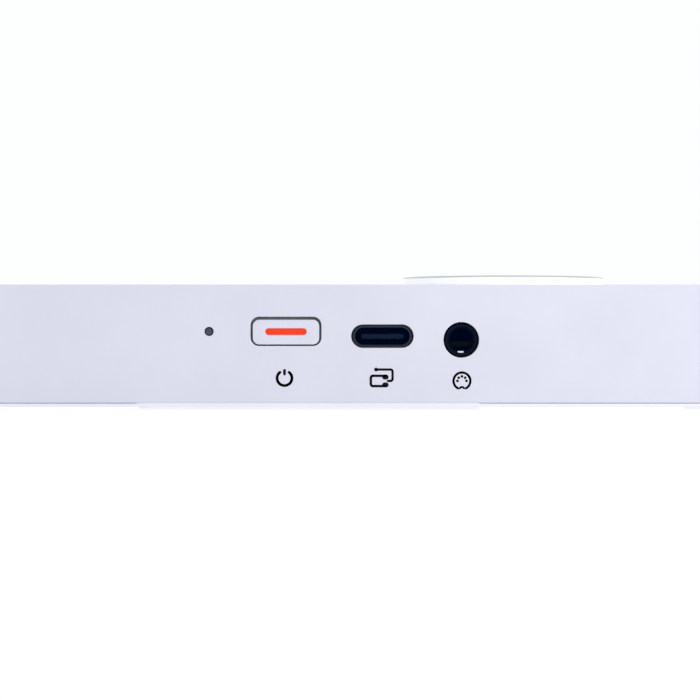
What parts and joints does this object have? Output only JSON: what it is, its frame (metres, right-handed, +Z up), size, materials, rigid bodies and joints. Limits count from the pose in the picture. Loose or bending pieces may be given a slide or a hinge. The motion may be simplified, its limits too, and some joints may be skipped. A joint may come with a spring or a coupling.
{
  "type": "digital piano",
  "caption": "Slim portable digital piano: hinged black and white keys, raised rear deck with speakers, volume dial and buttons, and a rear edge with power button, data port and jack.",
  "frame": {"origin": "on the floor, under the middle of the body", "axes": "+X the player's right, +Y the rear edge with the ports, +Z up"},
  "size_m": [0.467, 0.134, 0.0207],
  "materials": {
    "top_cover": "moulded ABS, pale lavender-white, fine satin texture",
    "bottom_cover": "moulded ABS, pale lavender-white, finely textured",
    "silicone": "pale grey silicone rubber",
    "steel": "zinc-plated steel",
    "frame_plastic": "glass-filled grey plastic",
    "circuit_board": "fibreglass board with green solder mask",
    "felt": "pressed red felt",
    "port_metal": "dark nickel-plated shell",
    "black_plastic": "black moulded plastic",
    "contact_metal": "bright plated spring contacts",
    "power_cap": "moulded ABS to match the cover",
    "orange_light": "orange translucent light bar",
    "smoked_lens": "smoked light pipe",
    "battery_wrap": "shrink-wrapped cell pack",
    "speaker": "black speaker with a paper cone",
    "grille": "perforated moulded insert",
    "dial_plastic": "satin white plastic",
    "dial_metal": "turned and anodised ring",
    "pot_case": "pressed sensor case",
    "button_plastic": "satin white plastic",
    "white_keys": "polished ivory-white ABS",
    "black_keys": "satin black ABS"
  },
  "bodies": {
    "root": {"top_cover": "top_cover", "key_surround": "top_cover", "bottom_cover": "bottom_cover", "rubber_feet": "silicone", "dome_strip": "silicone", "screws": "steel", "hinge_rod": "steel", "key_frame": "frame_plastic", "key_board": "circuit_board", "control_boards": "circuit_board", "felt_strips": "felt", "usb_shell": "port_metal", "usb_tongue": "black_plastic", "jack_body": "black_plastic", "tact_switches": "black_plastic", "jack_contacts": "contact_metal", "status_light": "smoked_lens", "battery": "battery_wrap", "speakers": "speaker", "speaker_grilles": "grille", "volume_pot": "pot_case"},
    "power_button": {"power_button": "power_cap", "power_light": "orange_light"},
    "volume_dial": {"volume_dial": "dial_plastic", "dial_ring": "dial_metal"},
    "button_sound": {"button_sound": "button_plastic"},
    "button_minus": {"button_minus": "button_plastic"},
    "button_plus": {"button_plus": "button_plastic"},
    "key_f3": {"key_f3": "white_keys"},
    "key_f3_sharp": {"key_f3_sharp": "black_keys"},
    "key_g3": {"key_g3": "white_keys"},
    "key_g3_sharp": {"key_g3_sharp": "black_keys"},
    "key_a3": {"key_a3": "white_keys"},
    "key_a3_sharp": {"key_a3_sharp": "black_keys"},
    "key_b3": {"key_b3": "white_keys"},
    "key_c4": {"key_c4": "white_keys"},
    "key_c4_sharp": {"key_c4_sharp": "black_keys"},
    "key_d4": {"key_d4": "white_keys"},
    "key_d4_sharp": {"key_d4_sharp": "black_keys"},
    "key_e4": {"key_e4": "white_keys"},
    "key_f4": {"key_f4": "white_keys"},
    "key_f4_sharp": {"key_f4_sharp": "black_keys"},
    "key_g4": {"key_g4": "white_keys"},
    "key_g4_sharp": {"key_g4_sharp": "black_keys"},
    "key_a4": {"key_a4": "white_keys"},
    "key_a4_sharp": {"key_a4_sharp": "black_keys"},
    "key_b4": {"key_b4": "white_keys"},
    "key_c5": {"key_c5": "white_keys"},
    "key_c5_sharp": {"key_c5_sharp": "black_keys"},
    "key_d5": {"key_d5": "white_keys"},
    "key_d5_sharp": {"key_d5_sharp": "black_keys"},
    "key_e5": {"key_e5": "white_keys"},
    "key_f5": {"key_f5": "white_keys"},
    "key_f5_sharp": {"key_f5_sharp": "black_keys"},
    "key_g5": {"key_g5": "white_keys"},
    "key_g5_sharp": {"key_g5_sharp": "black_keys"},
    "key_a5": {"key_a5": "white_keys"},
    "key_a5_sharp": {"key_a5_sharp": "black_keys"},
    "key_b5": {"key_b5": "white_keys"},
    "key_c6": {"key_c6": "white_keys"}
  },
  "joints": [
    {"name": "key_f3_hinge", "type": "hinge", "parent": "root", "child": "key_f3", "pos_m": [0, 0.042, 0.00535], "axis": [1, 0, 0], "range_deg": [0, 1.9], "stiffness_Nm_per_rad": 0.5, "springref_deg": -5.73, "deforming": ["dome_strip"]},
    {"name": "key_f3_sharp_hinge", "type": "hinge", "parent": "root", "child": "key_f3_sharp", "pos_m": [0, 0.042, 0.00535], "axis": [1, 0, 0], "range_deg": [0, 1.9], "stiffness_Nm_per_rad": 0.5, "springref_deg": -5.73},
    {"name": "key_g3_hinge", "type": "hinge", "parent": "root", "child": "key_g3", "pos_m": [0, 0.042, 0.00535], "axis": [1, 0, 0], "range_deg": [0, 1.9], "stiffness_Nm_per_rad": 0.5, "springref_deg": -5.73},
    {"name": "key_g3_sharp_hinge", "type": "hinge", "parent": "root", "child": "key_g3_sharp", "pos_m": [0, 0.042, 0.00535], "axis": [1, 0, 0], "range_deg": [0, 1.9], "stiffness_Nm_per_rad": 0.5, "springref_deg": -5.73},
    {"name": "key_a3_hinge", "type": "hinge", "parent": "root", "child": "key_a3", "pos_m": [0, 0.042, 0.00535], "axis": [1, 0, 0], "range_deg": [0, 1.9], "stiffness_Nm_per_rad": 0.5, "springref_deg": -5.73},
    {"name": "key_a3_sharp_hinge", "type": "hinge", "parent": "root", "child": "key_a3_sharp", "pos_m": [0, 0.042, 0.00535], "axis": [1, 0, 0], "range_deg": [0, 1.9], "stiffness_Nm_per_rad": 0.5, "springref_deg": -5.73},
    {"name": "key_b3_hinge", "type": "hinge", "parent": "root", "child": "key_b3", "pos_m": [0, 0.042, 0.00535], "axis": [1, 0, 0], "range_deg": [0, 1.9], "stiffness_Nm_per_rad": 0.5, "springref_deg": -5.73},
    {"name": "key_c4_hinge", "type": "hinge", "parent": "root", "child": "key_c4", "pos_m": [0, 0.042, 0.00535], "axis": [1, 0, 0], "range_deg": [0, 1.9], "stiffness_Nm_per_rad": 0.5, "springref_deg": -5.73},
    {"name": "key_c4_sharp_hinge", "type": "hinge", "parent": "root", "child": "key_c4_sharp", "pos_m": [0, 0.042, 0.00535], "axis": [1, 0, 0], "range_deg": [0, 1.9], "stiffness_Nm_per_rad": 0.5, "springref_deg": -5.73},
    {"name": "key_d4_hinge", "type": "hinge", "parent": "root", "child": "key_d4", "pos_m": [0, 0.042, 0.00535], "axis": [1, 0, 0], "range_deg": [0, 1.9], "stiffness_Nm_per_rad": 0.5, "springref_deg": -5.73},
    {"name": "key_d4_sharp_hinge", "type": "hinge", "parent": "root", "child": "key_d4_sharp", "pos_m": [0, 0.042, 0.00535], "axis": [1, 0, 0], "range_deg": [0, 1.9], "stiffness_Nm_per_rad": 0.5, "springref_deg": -5.73},
    {"name": "key_e4_hinge", "type": "hinge", "parent": "root", "child": "key_e4", "pos_m": [0, 0.042, 0.00535], "axis": [1, 0, 0], "range_deg": [0, 1.9], "stiffness_Nm_per_rad": 0.5, "springref_deg": -5.73},
    {"name": "key_f4_hinge", "type": "hinge", "parent": "root", "child": "key_f4", "pos_m": [0, 0.042, 0.00535], "axis": [1, 0, 0], "range_deg": [0, 1.9], "stiffness_Nm_per_rad": 0.5, "springref_deg": -5.73},
    {"name": "key_f4_sharp_hinge", "type": "hinge", "parent": "root", "child": "key_f4_sharp", "pos_m": [0, 0.042, 0.00535], "axis": [1, 0, 0], "range_deg": [0, 1.9], "stiffness_Nm_per_rad": 0.5, "springref_deg": -5.73},
    {"name": "key_g4_hinge", "type": "hinge", "parent": "root", "child": "key_g4", "pos_m": [0, 0.042, 0.00535], "axis": [1, 0, 0], "range_deg": [0, 1.9], "stiffness_Nm_per_rad": 0.5, "springref_deg": -5.73},
    {"name": "key_g4_sharp_hinge", "type": "hinge", "parent": "root", "child": "key_g4_sharp", "pos_m": [0, 0.042, 0.00535], "axis": [1, 0, 0], "range_deg": [0, 1.9], "stiffness_Nm_per_rad": 0.5, "springref_deg": -5.73},
    {"name": "key_a4_hinge", "type": "hinge", "parent": "root", "child": "key_a4", "pos_m": [0, 0.042, 0.00535], "axis": [1, 0, 0], "range_deg": [0, 1.9], "stiffness_Nm_per_rad": 0.5, "springref_deg": -5.73},
    {"name": "key_a4_sharp_hinge", "type": "hinge", "parent": "root", "child": "key_a4_sharp", "pos_m": [0, 0.042, 0.00535], "axis": [1, 0, 0], "range_deg": [0, 1.9], "stiffness_Nm_per_rad": 0.5, "springref_deg": -5.73},
    {"name": "key_b4_hinge", "type": "hinge", "parent": "root", "child": "key_b4", "pos_m": [0, 0.042, 0.00535], "axis": [1, 0, 0], "range_deg": [0, 1.9], "stiffness_Nm_per_rad": 0.5, "springref_deg": -5.73},
    {"name": "key_c5_hinge", "type": "hinge", "parent": "root", "child": "key_c5", "pos_m": [0, 0.042, 0.00535], "axis": [1, 0, 0], "range_deg": [0, 1.9], "stiffness_Nm_per_rad": 0.5, "springref_deg": -5.73},
    {"name": "key_c5_sharp_hinge", "type": "hinge", "parent": "root", "child": "key_c5_sharp", "pos_m": [0, 0.042, 0.00535], "axis": [1, 0, 0], "range_deg": [0, 1.9], "stiffness_Nm_per_rad": 0.5, "springref_deg": -5.73},
    {"name": "key_d5_hinge", "type": "hinge", "parent": "root", "child": "key_d5", "pos_m": [0, 0.042, 0.00535], "axis": [1, 0, 0], "range_deg": [0, 1.9], "stiffness_Nm_per_rad": 0.5, "springref_deg": -5.73},
    {"name": "key_d5_sharp_hinge", "type": "hinge", "parent": "root", "child": "key_d5_sharp", "pos_m": [0, 0.042, 0.00535], "axis": [1, 0, 0], "range_deg": [0, 1.9], "stiffness_Nm_per_rad": 0.5, "springref_deg": -5.73},
    {"name": "key_e5_hinge", "type": "hinge", "parent": "root", "child": "key_e5", "pos_m": [0, 0.042, 0.00535], "axis": [1, 0, 0], "range_deg": [0, 1.9], "stiffness_Nm_per_rad": 0.5, "springref_deg": -5.73},
    {"name": "key_f5_hinge", "type": "hinge", "parent": "root", "child": "key_f5", "pos_m": [0, 0.042, 0.00535], "axis": [1, 0, 0], "range_deg": [0, 1.9], "stiffness_Nm_per_rad": 0.5, "springref_deg": -5.73},
    {"name": "key_f5_sharp_hinge", "type": "hinge", "parent": "root", "child": "key_f5_sharp", "pos_m": [0, 0.042, 0.00535], "axis": [1, 0, 0], "range_deg": [0, 1.9], "stiffness_Nm_per_rad": 0.5, "springref_deg": -5.73},
    {"name": "key_g5_hinge", "type": "hinge", "parent": "root", "child": "key_g5", "pos_m": [0, 0.042, 0.00535], "axis": [1, 0, 0], "range_deg": [0, 1.9], "stiffness_Nm_per_rad": 0.5, "springref_deg": -5.73},
    {"name": "key_g5_sharp_hinge", "type": "hinge", "parent": "root", "child": "key_g5_sharp", "pos_m": [0, 0.042, 0.00535], "axis": [1, 0, 0], "range_deg": [0, 1.9], "stiffness_Nm_per_rad": 0.5, "springref_deg": -5.73},
    {"name": "key_a5_hinge", "type": "hinge", "parent": "root", "child": "key_a5", "pos_m": [0, 0.042, 0.00535], "axis": [1, 0, 0], "range_deg": [0, 1.9], "stiffness_Nm_per_rad": 0.5, "springref_deg": -5.73},
    {"name": "key_a5_sharp_hinge", "type": "hinge", "parent": "root", "child": "key_a5_sharp", "pos_m": [0, 0.042, 0.00535], "axis": [1, 0, 0], "range_deg": [0, 1.9], "stiffness_Nm_per_rad": 0.5, "springref_deg": -5.73},
    {"name": "key_b5_hinge", "type": "hinge", "parent": "root", "child": "key_b5", "pos_m": [0, 0.042, 0.00535], "axis": [1, 0, 0], "range_deg": [0, 1.9], "stiffness_Nm_per_rad": 0.5, "springref_deg": -5.73},
    {"name": "key_c6_hinge", "type": "hinge", "parent": "root", "child": "key_c6", "pos_m": [0, 0.042, 0.00535], "axis": [1, 0, 0], "range_deg": [0, 1.9], "stiffness_Nm_per_rad": 0.5, "springref_deg": -5.73},
    {"name": "power_press", "type": "slide", "parent": "root", "child": "power_button", "axis": [0, -1, 0], "range_m": [0, 0.0006], "stiffness_N_per_m": 600, "springref_m": -0.002},
    {"name": "volume_turn", "type": "hinge", "parent": "root", "child": "volume_dial", "pos_m": [-0.1706, 0.047, 0.01925], "axis": [0, 0, 1], "range_deg": [-140, 140]},
    {"name": "sound_press", "type": "slide", "parent": "root", "child": "button_sound", "axis": [0, 0, -1], "range_m": [0, 0.0006], "stiffness_N_per_m": 600, "springref_m": -0.002},
    {"name": "minus_press", "type": "slide", "parent": "root", "child": "button_minus", "axis": [0, 0, -1], "range_m": [0, 0.0006], "stiffness_N_per_m": 600, "springref_m": -0.002},
    {"name": "plus_press", "type": "slide", "parent": "root", "child": "button_plus", "axis": [0, 0, -1], "range_m": [0, 0.0006], "stiffness_N_per_m": 600, "springref_m": -0.002}
  ]
}
